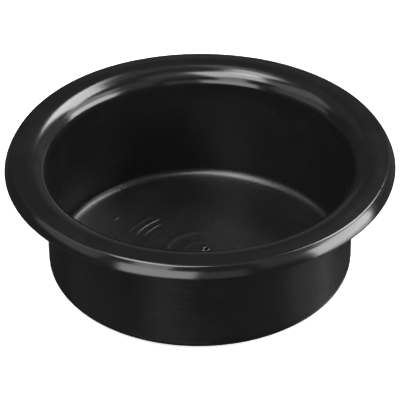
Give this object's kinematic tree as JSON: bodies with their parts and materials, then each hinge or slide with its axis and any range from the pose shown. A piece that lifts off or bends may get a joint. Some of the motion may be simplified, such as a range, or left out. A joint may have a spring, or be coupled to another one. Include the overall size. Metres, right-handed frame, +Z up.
{
  "type": "mortar mixing tub",
  "caption": "Round shallow tub moulded in one piece, for mixing mortar by hand, with a broad rolled brim to grip and carry it by.",
  "frame": {"origin": "on the tub's axis, at the level of the flat ring it stands on", "axes": "+Z up along the tub's axis, out of its mouth"},
  "size_m": [0.6, 0.6, 0.2],
  "materials": {
    "black_plastic": "satin black polyethylene as moulded, with faint flow lines and light scuffs"
  },
  "bodies": {
    "root": {"tub_shell": "black_plastic"}
  },
  "joints": []
}
